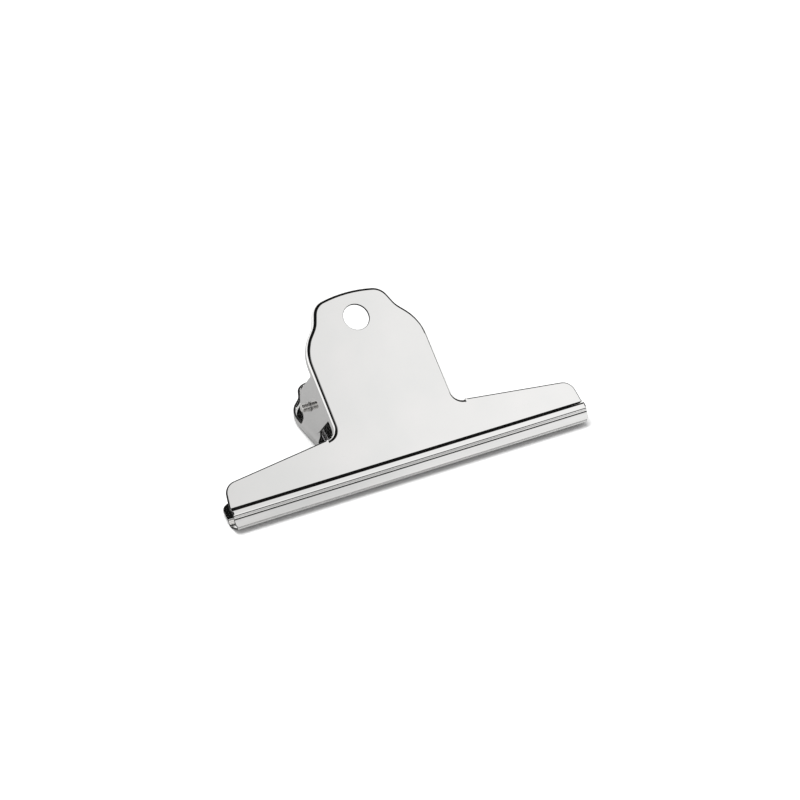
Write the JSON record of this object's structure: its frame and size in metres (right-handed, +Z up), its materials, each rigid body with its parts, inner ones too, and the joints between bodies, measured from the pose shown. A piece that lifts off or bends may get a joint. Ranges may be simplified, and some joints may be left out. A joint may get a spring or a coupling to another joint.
{
  "type": "bulldog clip",
  "caption": "Wide T-shaped spring clip: two pressed, nickel-plated levers with hanging holes, hinged on a pin and held shut by a torsion spring, for gripping sheets of paper.",
  "frame": {"origin": "on the table under the middle of the clip's outline, with the shut clip lying on its rear lever", "axes": "+X along the jaw, +Y from the jaw towards the handles, +Z up from the table"},
  "size_m": [0.145, 0.074, 0.0494],
  "materials": {
    "lever_plate": "bright nickel plate on pressed steel sheet",
    "pin_steel": "bright nickel plate",
    "spring_wire": "drawn spring wire",
    "ring_steel": "plated steel"
  },
  "bodies": {
    "rear_lever": {"rear_plate": "lever_plate", "hinge_pin": "pin_steel", "left_retaining_ring": "ring_steel", "right_retaining_ring": "ring_steel", "torsion_spring": "spring_wire"},
    "front_lever": {"front_plate": "lever_plate"}
  },
  "joints": [
    {"name": "jaw_hinge", "type": "hinge", "parent": "rear_lever", "child": "front_lever", "pos_m": [0, 0.00268, 0.01617], "axis": [-1, 0, 0], "range_deg": [0, 78], "stiffness_Nm_per_rad": 0.385, "springref_deg": -75, "deforming": ["torsion_spring"]}
  ]
}
